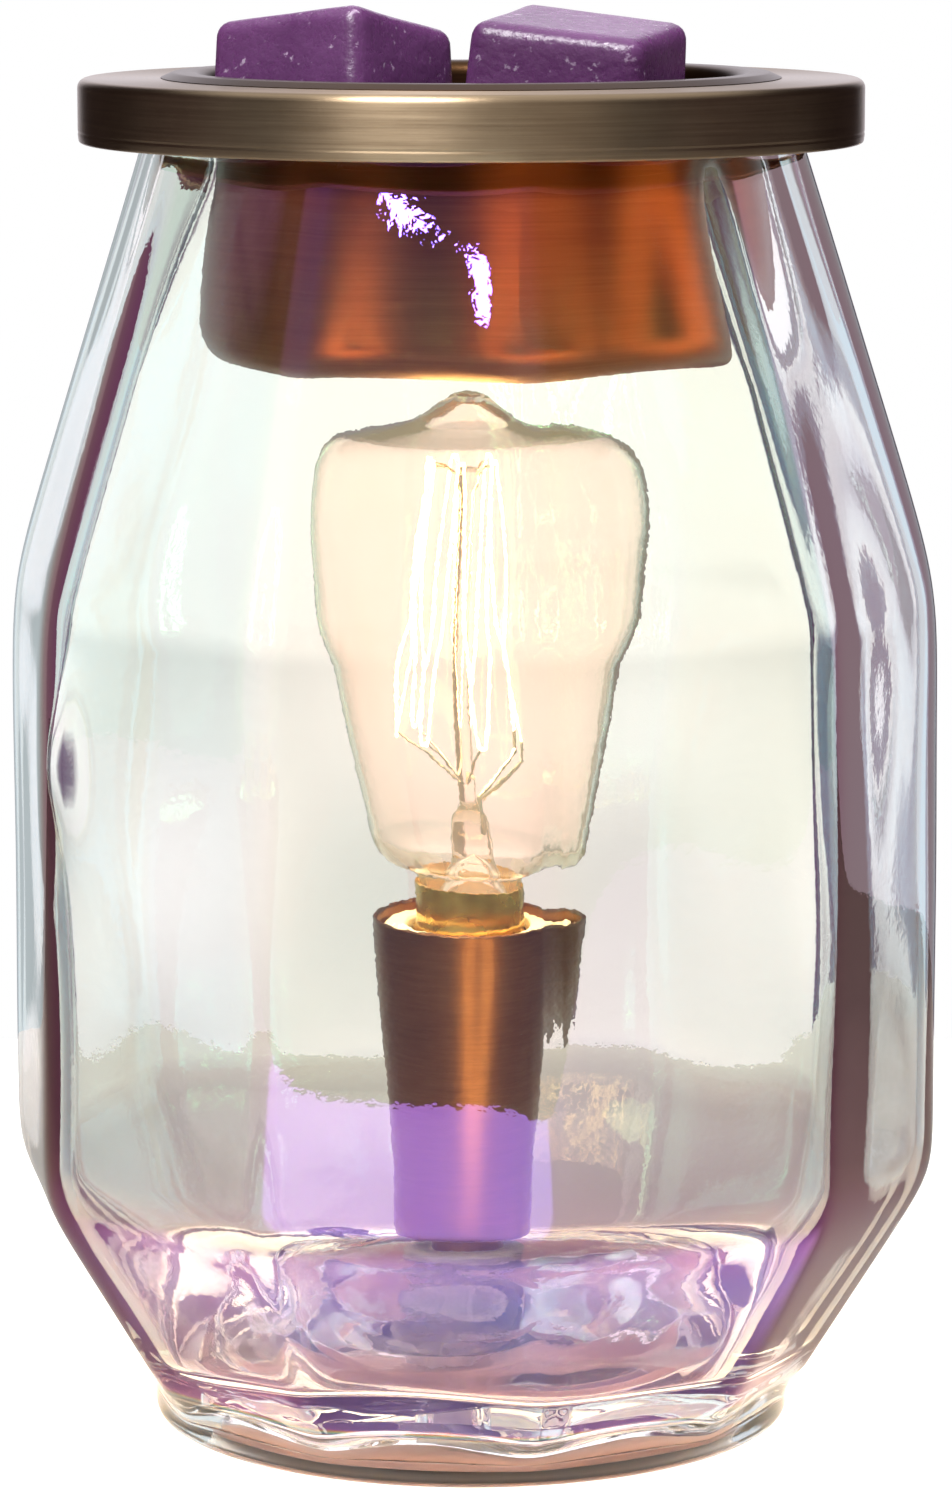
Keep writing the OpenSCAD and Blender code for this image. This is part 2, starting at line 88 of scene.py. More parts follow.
CAP_R = 8.3
CAP_BOTTOM = 54.0
THREAD_DEPTH = 0.35
THREAD_PITCH = 2.82
CAP_SHEET = 0.4
FILAMENT_R = 0.26
FILAMENT_LOOPS = 6
FILAMENT_START = 35
FILAMENT_SWEEP = 300
FILAMENT_TOP = 129.68
FILAMENT_LOW = 92.51
HOOK_TOP_R = 6.01
HOOK_LOW_R = 9.6
RING_R = 52.0
RING_TOP = 180.6
RING_BOTTOM = 172.2
RING_SHEET = 1.0
COLLAR_R = 36.4
COLLAR_DEPTH = 7.0
DISH_R = 36.0
DISH_BOTTOM = 143.2
DISH_SHEET = 0.8
DISH_CORNER = 5.0
DISH_LIP = 2.6
FLANGE_R = 41.0
CUBE_BASE = 25.2
CUBE_TOP = 23.6
CUBE_HEIGHT = 21.7
CUBE_ROUND = 2.3
CUBE_GAP = 1.4

# Uneven wax: waves per millimetre, their height, and the share of it that all points are set in
WAX_WAVES = 0.11
WAX_UNEVEN = 0.16
WAX_INWARD = 0.9

# Glass mesh: points round the jar, spacing of its rows, and where the round lip begins
JAR_SIDES = 300
OUTER_STEP = 1.6
INNER_STEP = 1.8
UNDER_STEP = 3.0
LIP_Z = 174.4

# Sharpness of the glass panels' edges, outside and inside, per millimetre
OUTER_EDGE = 1.3
INNER_EDGE = 1.0

# Height of the glass's uneven waves, outside and inside
OUTER_RIPPLE = 0.15
INNER_RIPPLE = 0.55

# How far the inside follows the panels' corners, as a share, and how far it is set in
INNER_FOLLOW = 0.95
INNER_SET_IN = 0.3

# Hollows in the inside of the wall: bearing in degrees, height, depth, half width and half length
HOLLOWS = ((-152, 93, 3.4, 2.9, 9.0), (-42, 78, 1.9, 7.5, 52.0))

# Colours of the studio
WHITE = (1.0, 1.0, 1.0)
PALE = (1.10, 1.055, 1.15)
HAZE = (0.72, 0.82, 0.86)
CARD = (0.66, 0.77, 0.88)
COOL = (0.50, 0.52, 0.58)
FRONT = (0.52, 0.50, 0.48)
GREY = (0.42, 0.41, 0.42)
NEAR_FRONT = (0.30, 0.27, 0.25)
SHEEN = (0.24, 0.25, 0.27)
SOFT = (0.18, 0.12, 0.19)
DIM = (0.10, 0.10, 0.11)
UMBER = (0.10, 0.065, 0.035)
PLUM = (0.07, 0.022, 0.09)
DARK = (0.06, 0.035, 0.045)
BLACK = (0.03, 0.02, 0.02)
CEILING_IN_GLASS = (2.4, 2.4, 2.5)

# Bearings in degrees: 0 is straight behind the object, 90 to its right
# Dark strips behind the glass: middle and half width
DARK_STRIPS = ((-118, 9), (-72, 5), (-36, 3), (30, 17), (72, 5), (118, 9))
STRIP_EDGE = 3

# What metal and glass mirror, by bearing
MIRRORED_IN_METAL = (
    (-179, NEAR_FRONT), (-150, FRONT), (-118, DIM), (-90, DARK), (-60, BLACK), (-22, BLACK), (-10, PALE),
    (10, PALE), (22, BLACK), (60, BLACK), (110, DARK), (132, DIM), (150, NEAR_FRONT),
)
MIRRORED_IN_GLASS = (
    (-160, DIM), (-148, SHEEN), (-112, SHEEN), (-104, DARK), (-88, DARK), (-82, COOL), (-62, COOL),
    (-56, HAZE), (-14, HAZE), (-6, SOFT), (12, SOFT), (20, DIM), (27, CARD), (64, CARD), (72, PLUM),
    (86, UMBER), (100, PLUM), (118, UMBER), (150, DARK), (175, DIM),
)


# Outlines

def unit(v):
    return v / np.linalg.norm(v)


def corner_arc(a, b, c, radius, steps):
    """Points of the arc that rounds corner b between the sides to a and to c."""
    to_a = unit(a - b)
    to_c = unit(c - b)
    half = math.acos(np.clip(to_a @ to_c, -1, 1)) / 2
    room = 0.45 * min(np.linalg.norm(a - b), np.linalg.norm(c - b))
    radius = min(radius, room * math.tan(half))
    centre = b + unit(to_a + to_c) * radius / math.sin(half)
    start = b + to_a * radius / math.tan(half) - centre
    finish = b + to_c * radius / math.tan(half) - centre
    first = math.atan2(start[1], start[0])
    turn = (math.atan2(finish[1], finish[0]) - first + 3 * math.pi) % (2 * math.pi) - math.pi
    angles = [first + turn * i / steps for i in range(steps + 1)]
    return [centre + radius * np.array([math.cos(t), math.sin(t)]) for t in angles]


def rounded(corners, closed, steps=8):
    """Half outline (radius, height) from corners (radius, height, rounding)."""
    points = []
    count = len(corners)
    for i, (r, z, rounding) in enumerate(corners):
        inside = closed or 0 < i < count - 1
        if rounding > 0 and inside:
            before = np.array(corners[(i - 1) % count][:2])
            after = np.array(corners[(i + 1) % count][:2])
            points += corner_arc(before, np.array([r, z]), after, rounding, steps)
        else:
            points.append(np.array([r, z], float))
    return points


def even_steps(points, step):
    """The same outline with points no further apart than step."""
    out = [points[0]]
    for a, b in zip(points, points[1:]):
        count = max(1, math.ceil(np.linalg.norm(b - a) / step))
        out += [a + (b - a) * i / count for i in range(1, count + 1)]
    return out


def smooth_path(points, per_span):
    """A smooth curve through the points."""
    p = [np.array(q, float) for q in points]
    p = [2 * p[0] - p[1]] + p + [2 * p[-1] - p[-2]]
    out = []
    for a, b, c, d in zip(p, p[1:], p[2:], p[3:]):
        bend = 2 * a - 5 * b + 4 * c - d
        twist = 3 * b - a - 3 * c + d
        for i in range(per_span):
            t = i / per_span
            out.append(0.5 * (2 * b + (c - a) * t + bend * t**2 + twist * t**3))
    return out + [p[-2]]


# Mesh pieces

def smooth(mesh, sharp_angle=40):
    """Smooth shading, with edges over the angle in degrees kept sharp."""
    mesh.shade_smooth()
    mesh.set_sharp_from_angle(angle=math.radians(sharp_angle))


def piece(name, points, faces, sharp_angle=40):
    """A smooth mesh piece from points in millimetres."""
    mesh = bpy.data.meshes.new(name)
    mesh.from_pydata([tuple(p) for p in np.asarray(points) * MM], [], faces)
    mesh.validate()
    smooth(mesh, sharp_angle)
    obj = bpy.data.objects.new(name, mesh)
    bpy.context.scene.collection.objects.link(obj)
    return obj


def grid_faces(rows, sides, wrap):
    """Quads between rows of points that each run once round the piece."""
    faces = []
    for i in range(rows if wrap else rows - 1):
        a = i * sides
        b = (i + 1) % rows * sides
        for j in range(sides):
            k = (j + 1) % sides
            faces.append((a + j, a + k, b + k, b + j))
    return faces


def close_poles(obj):
    """Merge the points that meet on the axis and drop the faces that this empties."""
    work = bmesh.new()
    work.from_mesh(obj.data)
    bmesh.ops.remove_doubles(work, verts=work.verts, dist=1e-6)
    bmesh.ops.dissolve_degenerate(work, edges=work.edges, dist=1e-7)
    bmesh.ops.recalc_face_normals(work, faces=work.faces)
    work.to_mesh(obj.data)
    work.free()
    smooth(obj.data)


def spun(name, outline, sides, closed):
    """A piece from the points of a half outline, turned round the Z axis."""
    angles = np.linspace(0, 2 * math.pi, sides, endpoint=False)
    points = [(r * math.cos(t), r * math.sin(t), z) for r, z in outline for t in angles]
    obj = piece(name, points, grid_faces(len(outline), sides, closed))
    close_poles(obj)
    return obj


def turned(name, corners, sides=144, closed=True, step=4.0):
    """A piece turned round the Z axis from the corners of its half outline."""
    outline = rounded(corners, closed)
    if closed:
        outline = even_steps(outline + outline[:1], step)[:-1]
    else:
        outline = even_steps(outline, step)
    return spun(name, outline, sides, closed)


def tube_rows(path, radius, sides):
    """Rings of points along a path, turned as little as possible from one to the next."""
    rings = []
    side = None
    for i, point in enumerate(path):
        along = unit(path[min(i + 1, len(path) - 1)] - path[max(i - 1, 0)])
        if side is None:
            side = np.cross(along, [0.3, 0.5, 0.81])
        side = unit(side - along * (side @ along))
        up = np.cross(along, side)
        for j in range(sides):
            t = 2 * math.pi * j / sides
            rings.append(point + radius * (side * math.cos(t) + up * math.sin(t)))
    return rings


def wire(name, path, radius, sides=10):
    """A round wire along a path, with flat ends."""
    points = tube_rows(path, radius, sides)
    faces = grid_faces(len(path), sides, False)
    last = len(points) - sides
    faces.append(tuple(reversed(range(sides))))
    faces.append(tuple(last + j for j in range(sides)))
    return piece(name, points, faces)


def ridden(obj, body, slot, *nodes):
    """Put a piece on its body, in place of its CAD nodes; the slot argument is not used."""
    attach(obj, body)
    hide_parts(*nodes)
    return obj


# Glass jar

def soft_least(values, sharpness):
    """Smallest of the values, with the change from one to the next rounded off."""
    values = np.asarray(values)
    low = values.min(axis=0)
    return low - np.log(np.exp(-sharpness * (values - low)).sum(axis=0)) / sharpness


def soft_most(values, sharpness):
    return -soft_least(-np.asarray(values), sharpness)


def ripple(theta, z, size, turns):
    """Slow uneven waves of hand-pressed glass, between about -size and size."""
    waves = np.sin(turns * theta + 0.055 * z + 0.7)
    waves = waves + 0.8 * np.sin((turns + 4) * theta - 0.083 * z + 2.1)
    waves = waves + 0.7 * np.sin(3 * theta + 0.137 * z + 4.0)
    return size * waves / 2.5


def panel_radius(theta, z, sharpness):
    """Radius of the three rows of flat panels, with soft edges."""
    lower = PANEL_R - HEEL_SLOPE * (HEEL_Z - z)
    upper = PANEL_R - (PANEL_R - NECK_R) * (z - SHOULDER_Z) / (FACET_TOP - SHOULDER_Z)
    flats = []
    for i in range(FACETS):
        facing = math.radians(FACET_TURN - 90 + i * 360 / FACETS)
        set_back = 0.25 * (1 + math.sin(2.4 * i))
        apothem = soft_least([PANEL_R - set_back, lower, upper], 0.9)
        flats.append(apothem / np.maximum(np.cos(theta - facing), 0.2))
    return soft_least(flats, sharpness)


def dents(theta, z):
    """Depth of the hollows that the mould left in the inside of the wall."""
    depth = 0 * theta
    for degrees, height, hollow, across, tall in HOLLOWS:
        away = (theta - math.radians(degrees) + math.pi) % (2 * math.pi) - math.pi
        depth = depth + hollow * np.exp(-((away * INSIDE_R / across) ** 2) - ((z - height) / tall) ** 2)
    return depth


def floor_wave(theta, r, z):
    """Unevenness of the pressed glass floor, from the hub out to the wall."""
    if z > 20:
        return 0 * theta
    reach = np.clip((r - 11) / 6, 0, 1) * np.clip((47 - r) / 8, 0, 1)
    return reach * (0.9 * np.sin(3 * theta + 0.16 * r) + 0.5 * np.sin(5 * theta - 0.22 * r + 1.3))


def foot_radius(z):
    if z >= FOOT_ROUND:
        return FOOT_R
    return FOOT_R - FOOT_ROUND + math.sqrt(FOOT_ROUND**2 - (FOOT_ROUND - z) ** 2)


def outer_rows(theta):
    """Rows of the outside: round foot, panels, round lip."""
    heights = [0, 0.15, 0.4, 0.8, 1.2, FOOT_ROUND] + list(np.arange(2.4, LIP_Z - 1.2, OUTER_STEP))
    rows = []
    for z in heights:
        round_foot = np.full_like(theta, foot_radius(z))
        panels = panel_radius(theta, z, OUTER_EDGE) - OUTER_RIPPLE + ripple(theta, z, OUTER_RIPPLE, 5)
        both = soft_most([round_foot, panels], 2.0) if z < 12 else panels
        above_foot = np.clip((z - 3.0) / 4.0, 0, 1)
        rows.append((round_foot * (1 - above_foot) + both * above_foot, z))
    for r, z in rounded([(LIP_R, LIP_Z, 0), (LIP_R, JAR_TOP, 2), (MOUTH_R, JAR_TOP, 1.5)], False)[:-1]:
        rows.append((np.full_like(theta, r), z))
    return rows


def inner_rows(theta):
    """Rows of the inside, from the mouth down the wall to the hub's hole."""
    outline = rounded(
        [
            (MOUTH_R, JAR_TOP, 0), (MOUTH_R, JAR_TOP - 9, 8), (INSIDE_R, SHOULDER_Z, 20),
            (INSIDE_R, HEEL_Z + 1, 12), (FLOOR_R, FLOOR_Z, 3), (HUB_R + HUB_RAMP, FLOOR_Z, 4),
            (HUB_R, HUB_Z, 4), (HUB_HOLE_R, HUB_Z, 0),
        ],
        False,
    )
    rows = []
    for r, z in even_steps(outline, INNER_STEP):
        below_mouth = np.clip((JAR_TOP - 12 - z) / 25, 0, 1)
        off_hub = np.clip((r - 8) / 25, 0, 1)
        panels = panel_radius(theta, max(z, 20), INNER_EDGE)
        follow = INNER_FOLLOW * (panels / panels.min() - 1) * r
        wave = ripple(theta + 0.5, z, INNER_RIPPLE, 4) + dents(theta, z)
        uneven = below_mouth * off_hub * (follow + wave - INNER_SET_IN)
        rows.append((r + uneven, z + floor_wave(theta, r, z)))
    return rows


def under_rows(theta):
    """Rows of the recess under the jar, from the hub's hole to the cover's seat."""
    outline = rounded(
        [
            (HUB_HOLE_R, HUB_UNDER, 0), (HUB_R, HUB_UNDER, 4), (HUB_R + HUB_RAMP, RECESS_TOP, 4),
            (RECESS_R, RECESS_TOP, 1.5), (RECESS_R, COVER_TOP, 0), (COVER_SEAT_R, COVER_TOP, 0),
            (COVER_SEAT_R, 0, 0),
        ],
        False,
    )
    return [(np.full_like(theta, r), z) for r, z in even_steps(outline, UNDER_STEP)]


def cut_cord_hole(jar):
    """Bore the stepped cord hole through the back of the foot."""
    turn = Matrix.Rotation(math.radians(CORD_TURN - 90), 4, "Z")
    lay = Matrix.Rotation(math.radians(90), 4, "Y")
    beyond = 60
    for radius, start in ((CORD_HOLE_R, RECESS_R - 4), (FLANGE_HOLE_R, FLANGE_SEAT)):
        outline = [(0, start, 0), (radius, start, 0), (radius, beyond, 0), (0, beyond, 0)]
        cutter = turned("cord_hole_cutter", outline, 48)
        cutter.matrix_world = turn @ Matrix.Translation((0, 0, CORD_Z * MM)) @ lay
        cut = jar.modifiers.new("cord hole", "BOOLEAN")
        cut.operation = "DIFFERENCE"
        cut.solver = "MANIFOLD"
        cut.object = cutter
        bpy.context.view_layer.update()
        done = jar.evaluated_get(bpy.context.evaluated_depsgraph_get())
        jar.data = bpy.data.meshes.new_from_object(done)
        jar.modifiers.clear()
        bpy.data.objects.remove(cutter)


def glass_jar(outer_skin, inner_skin):
    """The jar, with one material outside and another inside and underneath."""
    theta = np.linspace(0, 2 * math.pi, JAR_SIDES, endpoint=False)
    outside = outer_rows(theta)
    rows = outside + inner_rows(theta) + under_rows(theta)
    points = np.concatenate(
        [np.stack([r * np.cos(theta), r * np.sin(theta), z + 0 * theta], axis=1) for r, z in rows]
    )
    jar = piece("jar_glass", points, grid_faces(len(rows), JAR_SIDES, True))
    first_inside = len(outside) * JAR_SIDES
    skins = [int(i >= first_inside) for i in range(len(jar.data.polygons))]
    jar.data.polygons.foreach_set("material_index", skins)
    # The cut keeps the faces' materials only if the mesh already has them
    jar.data.materials.append(outer_skin)
    jar.data.materials.append(inner_skin)
    cut_cord_hole(jar)
    smooth(jar.data, 50)
    return ridden(jar, "jar", "jar_glass", "glass_jar")


# Metal sheet pieces

def lid_ring():
    """The ring's sheet, with a fine groove over its hem and a collar down into the mouth."""
    groove = RING_BOTTOM + 1.4
    sheet_r = RING_R - RING_SHEET
    hem_r = sheet_r - 0.5
    under = RING_TOP - RING_SHEET
    collar = COLLAR_R + RING_SHEET
    collar_end = RING_TOP - COLLAR_DEPTH
    ring = turned("lid_ring_sheet", [
        (RING_R - 0.15, RING_BOTTOM, 0.4), (RING_R, groove - 0.3, 0.4), (RING_R - 0.06, groove, 0.2),
        (RING_R, groove + 0.3, 0.4), (RING_R, RING_TOP, 1.2), (COLLAR_R, RING_TOP, 2),
        (COLLAR_R, collar_end, 0.4), (collar, collar_end, 0.4), (collar, under, 1), (sheet_r, under, 0.4),
        (sheet_r, groove + 0.4, 0), (hem_r, groove + 0.1, 0), (hem_r, RING_BOTTOM, 0.3),
    ], 240)
    return ridden(ring, "lid", "bronze", "lid_ring")


def wax_dish():
    inner = DISH_R - DISH_SHEET
    floor = DISH_BOTTOM + DISH_SHEET
    top = RING_TOP + DISH_SHEET
    dish = turned("wax_dish_pressing", [
        (0, DISH_BOTTOM, 0), (DISH_R, DISH_BOTTOM, DISH_CORNER), (DISH_R, RING_TOP, DISH_LIP - DISH_SHEET),
        (FLANGE_R, RING_TOP, 0), (FLANGE_R, RING_TOP + 0.1, 0), (FLANGE_R - 1.6, top, 1.2),
        (inner, top, DISH_LIP), (inner, floor, DISH_CORNER - DISH_SHEET), (0, floor, 0),
    ], 240, closed=False)
    return ridden(dish, "dish", "bronze", "wax_dish")


def socket_sleeve():
    floor = SLEEVE_BOTTOM + 1
    sleeve = turned("socket_sleeve_tube", [
        (NIPPLE_HOLE_R, SLEEVE_BOTTOM, 0), (SLEEVE_FOOT_R, SLEEVE_BOTTOM, 1.8),
        (SLEEVE_RIM_R, SLEEVE_TOP, 0.35), (SLEEVE_RIM_R - SLEEVE_WALL, SLEEVE_TOP, 0.35),
        (SLEEVE_FOOT_R - SLEEVE_WALL, floor, 1), (NIPPLE_HOLE_R, floor, 0),
    ])
    return ridden(sleeve, "jar", "bronze", "socket_sleeve")


def base_cover():
    edge = COVER_SEAT_R - 0.2
    rim = COVER_BOTTOM + 0.3
    cover = turned("base_cover_disc", [
        (0, COVER_BOTTOM, 0), (edge - 3, COVER_BOTTOM, 0.3), (edge - 2, rim, 0.3), (edge, rim, 0.4),
        (edge, COVER_TOP, 0.2), (0, COVER_TOP, 0),
    ], closed=False)
    return ridden(cover, "jar", "bronze", "base_cover")


# Bulb

def bulb_corners(inset):
    """Half outline of the bulb's glass, the inset inside its outer face."""
    def at(across, up, rounding, drop=0.0):
        return (across * BULB_R - inset, BULB_BASE + up * BULB_HEIGHT - drop, rounding)

    neck = BULB_NECK_R - inset
    return [
        (neck, BULB_BASE - BULB_NECK, 0), (neck, BULB_BASE + 0.02 * BULB_HEIGHT, 2.5),
        at(0.575, 0.045, 6, -inset), at(0.93, 0.55, 80), at(1.005, 0.76, 40), at(0.93, 0.885, 8),
        at(0.34, 0.935, 10, inset), at(0.11, 0.99, 1.2, 2 * inset),
        (0, BULB_BASE + BULB_HEIGHT - 3 * inset, 0),
    ]


def bulb_envelope():
    outer, inner = (even_steps(rounded(bulb_corners(inset), False, 14), 1.5) for inset in (0, BULB_WALL))
    bulb = spun("bulb_glass_envelope", outer + inner[::-1], 128, True)
    return ridden(bulb, "bulb", "bulb_glass", "bulb_envelope")


def polar(radius, degrees, z):
    t = math.radians(degrees)
    return np.array([radius * math.cos(t), radius * math.sin(t), z])


def low_angle(i):
    return FILAMENT_START + FILAMENT_SWEEP * i / FILAMENT_LOOPS


def over_hook(radius, degrees, z, spread, drop):
    """Three points of the wire where it bends round a hook."""
    return [polar(radius, degrees + side * spread, z - abs(side) * drop) for side in (-1, 0, 1)]


def strand(shares, low, high, wobble):
    """Slack points of the wire at shares of the way from a low hook to a high one."""
    points = []
    for t in shares:
        radius = (HOOK_LOW_R + (HOOK_TOP_R - HOOK_LOW_R) * t) * (1.0 + 0.12 * math.sin(wobble(t)))
        points.append(polar(radius, low + (high - low) * t, FILAMENT_LOW + (FILAMENT_TOP - FILAMENT_LOW) * t))
    return points


def filament_path():
    """The glowing wire from the first lead, up and down round the cage, to the last."""
    lead_z = FILAMENT_LOW + 0.5
    path = [polar(HOOK_LOW_R, low_angle(0), lead_z)]
    for i in range(FILAMENT_LOOPS):
        low, high, after = low_angle(i), low_angle(i + 0.5), low_angle(i + 1)
        path += strand((0.3, 0.65), low + 5, high - 4, lambda t: 5 * i + 7 * t)
        path += over_hook(HOOK_TOP_R, high, FILAMENT_TOP, 5, 1)
        path += strand((0.65, 0.3), after - 5, high + 4, lambda t: 3 * i + 9 * t)
        if i < FILAMENT_LOOPS - 1:
            path += over_hook(HOOK_LOW_R, after, FILAMENT_LOW, 4, -1.2)
    path.append(polar(HOOK_LOW_R, low_angle(FILAMENT_LOOPS), lead_z))
    return smooth_path(path, 5)


def bulb_filament():
    filament = wire("bulb_glow_wire", filament_path(), FILAMENT_R)
    return ridden(filament, "bulb", "filament", "bulb_filament")


def bulb_screw_shell():
    """The brass cap with its rolled thread, drawn as one skin and its inside."""
    sides = 96
    top = BULB_BASE - 0.1
    heights = np.arange(CAP_BOTTOM, top, 0.25).tolist() + [top]
    angles = np.linspace(0, 2 * math.pi, sides, endpoint=False)
    points = []
    for inset, order in ((0.0, heights), (CAP_SHEET, heights[::-1])):
        for z in order:
            depth = THREAD_DEPTH * min(1, max(0, (BULB_BASE - BULB_NECK - z) / THREAD_PITCH))
            for t in angles:
                r = CAP_R - THREAD_DEPTH + depth * math.cos(2 * math.pi * z / THREAD_PITCH - t) - inset
                points.append((r * math.cos(t), r * math.sin(t), z))
    shell = piece("bulb_cap_shell", points, grid_faces(2 * len(heights), sides, True))
    return ridden(shell, "bulb", "brass", "bulb_screw_shell")


# Wax

def rounded_block(height, cells=22):
    """Points and faces of a tapered block with rounded edges."""
    half = np.array([CUBE_BASE / 2, CUBE_BASE / 2, height / 2])
    core = half - CUBE_ROUND
    work = bmesh.new()
    bmesh.ops.create_cube(work, size=2)
    bmesh.ops.subdivide_edges(work, edges=work.edges, cuts=cells, use_grid_fill=True)
    points = []
    for vert in work.verts:
        p = np.array(vert.co) * half
        q = np.clip(p, -core, core)
        p = q + unit(p - q) * CUBE_ROUND
        up = (p[2] + half[2]) / height
        taper = 1 + (CUBE_TOP / CUBE_BASE - 1) * up
        points.append(np.array([p[0] * taper, p[1] * taper, p[2] + half[2]]))
    work.verts.index_update()
    faces = [tuple(v.index for v in face.verts) for face in work.faces]
    work.free()
    return np.array(points), faces


def wax_cube(name, at, lean, turn, height, seed):
    """A slightly uneven block, turned and then leant about X and Y in degrees."""
    points, faces = rounded_block(height)
    shift = Vector((seed, 0, 0))
    uneven = [noise.noise(Vector(p) * WAX_WAVES + shift) - WAX_INWARD for p in points]
    middle = np.array([0, 0, height / 2])
    points = points + np.array([unit(p - middle) * WAX_UNEVEN * u for p, u in zip(points, uneven)])
    place = Matrix.Translation(at)
    for degrees, axis in ((lean[1], "Y"), (lean[0], "X"), (turn, "Z")):
        place = place @ Matrix.Rotation(math.radians(degrees), 4, axis)
    return piece(name, [place @ Vector(p) for p in points], faces, 60)


def wax_cubes():
    """Two leaning cubes on two flat ones, placed as in the part's source."""
    floor = DISH_BOTTOM + DISH_SHEET
    top = floor + CUBE_HEIGHT
    pair = (CUBE_BASE + CUBE_GAP) / 2
    level = (0, 0)
    left = wax_cube("wax_left_block", (-18.295, 1.512, top + 0.5), (-13, 0), -33, CUBE_HEIGHT, 3)
    right = wax_cube("wax_right_block", (12.7, -1.008, top + 0.9), (6, 4.7), -17.5, CUBE_HEIGHT, 11)
    lower_left = wax_cube("wax_lower_left_block", (-pair, -5.393, floor), level, 0, CUBE_HEIGHT - 0.5, 19)
    lower_right = wax_cube("wax_lower_right_block", (pair, -4.007, floor), level, 0, CUBE_HEIGHT - 1.3, 27)
    ridden(left, "wax_left", "wax", "wax_cube_left")
    ridden(right, "wax_right", "wax", "wax_cube_right")
    ridden(lower_left, "dish", "wax", "wax_cubes_lower")
    ridden(lower_right, "dish", "wax", "wax_cubes_lower")
    return [left, right, lower_left, lower_right]


# Shader nodes

class Nodes:
    """A node tree, with short calls for the nodes that this scene uses."""

    def __init__(self, tree):
        self.tree = tree

    def add(self, kind, settings=(), **inputs):
        node = self.tree.nodes.new("ShaderNode" + kind)
        for key, value in dict(settings).items():
            setattr(node, key, value)
        for key, value in inputs.items():
            self.feed(node.inputs[key.replace("_", " ")], value)
        return node

    def feed(self, socket, value):
        """Link an output to the socket, or set its constant; colours are given without alpha."""
        if isinstance(value, bpy.types.NodeSocket):
            self.tree.links.new(value, socket)
        elif socket.type == "RGBA":
            socket.default_value = (*value, 1.0)
        else:
            socket.default_value = value

    def math(self, operation, a, b=0.0):
        node = self.add("Math", {"operation": operation})
        self.feed(node.inputs[0], a)
        self.feed(node.inputs[1], b)
        return node.outputs[0]

    def spread(self, value, start, end, low=0.0, high=1.0):
        """The value's stretch from start to end, spread over low to high and held there beyond."""
        node = self.add("MapRange", Value=value, From_Min=start, From_Max=end, To_Min=low, To_Max=high)
        return node.outputs["Result"]

    def span(self, factor, low, high):
        """The factor's 0 to 1 spread over low to high."""
        return self.spread(factor, 0.0, 1.0, low, high)

    def mix(self, factor, a, b, blend="MIX"):
        """Colour a where the factor is 0, and b, or a blended with b, where it is 1."""
        node = self.add("Mix", {"data_type": "RGBA", "blend_type": blend}, Factor=factor, A=a, B=b)
        return node.outputs["Result"]

    def ramp(self, factor, *stops):
        """Colours at places from 0 to 1 along the factor."""
        node = self.add("ValToRGB", Fac=factor)
        elements = node.color_ramp.elements
        while len(elements) < len(stops):
            elements.new(0.5)
        for element, (at, colour) in zip(elements, stops):
            element.position = at
            element.color = (*colour, 1.0)
        return node.outputs["Color"]

    def split(self, vector):
        return self.add("SeparateXYZ", Vector=vector).outputs


class Shader(Nodes):
    """A material's node tree round its main shader."""

    def __init__(self, name):
        self.material = bpy.data.materials.new(name)
        self.material.use_nodes = True
        super().__init__(self.material.node_tree)
        self.bsdf = self.tree.nodes["Principled BSDF"]
        self.out = self.tree.nodes["Material Output"]

    def set(self, **inputs):
        for key, value in inputs.items():
            self.feed(self.bsdf.inputs[key.replace("_", " ")], value)

    def place(self):
        return self.add("TexCoord").outputs["Object"]

    def height(self):
        return self.split(self.place())["Z"]

    def noise(self, vector, scale, detail=4.0, roughness=0.55):
        node = self.add("TexNoise", Vector=vector, Scale=scale, Detail=detail, Roughness=roughness)
        return node.outputs["Fac"]

    def blend(self, a, share_a, b, share_b):
        """Sum of two values, each taken at its share."""
        return self.math("ADD", self.math("MULTIPLY", a, share_a), self.math("MULTIPLY", b, share_b))

    def bump(self, height, strength, distance):
        node = self.add("Bump", Height=height, Strength=strength, Distance=distance)
        return node.outputs["Normal"]

    def round_place(self, along, across):
        """Coordinates that run slowly round the Z axis and quickly across it."""
        x, y, z = self.split(self.place())
        angle = self.math("ARCTAN2", y, x)
        radius = self.math("SQRT", self.math("ADD", self.math("MULTIPLY", x, x), self.math("MULTIPLY", y, y)))
        joined = self.add("CombineXYZ")
        for socket, value, scale in zip(joined.inputs, (angle, radius, z), (along, across, across)):
            self.feed(socket, self.math("MULTIPLY", value, scale))
        return joined.outputs[0]

    def show(self, factor, off, on):
        """Show one shader where the factor is 0 and another where it is 1."""
        mix = self.add("MixShader")
        for socket, value in zip(mix.inputs, (factor, off, on)):
            self.feed(socket, value)
        self.feed(self.out.inputs["Surface"], mix.outputs[0])

    def let_lamps_through(self, tint):
        """Let the light of lamps pass straight through clear material."""
        rays = self.add("LightPath")
        clear = self.add("BsdfTransparent", Color=tint)
        self.show(rays.outputs["Is Shadow Ray"], self.bsdf.outputs[0], clear.outputs[0])


# Materials; heights and distances in metres

def iridescent_film(s, cloud):
    """A thin film, in nanometres, that is thicker on the heel and ends above the foot."""
    height = s.height()
    on_heel = s.spread(height, 0.040, 0.028, 0.0, 22.0)
    above_foot = s.spread(height, 0.0065, 0.008)
    film = s.math("ADD", s.span(cloud, 258.0, 278.0), on_heel)
    s.set(Thin_Film_Thickness=s.math("MULTIPLY", film, above_foot), Thin_Film_IOR=2.05)


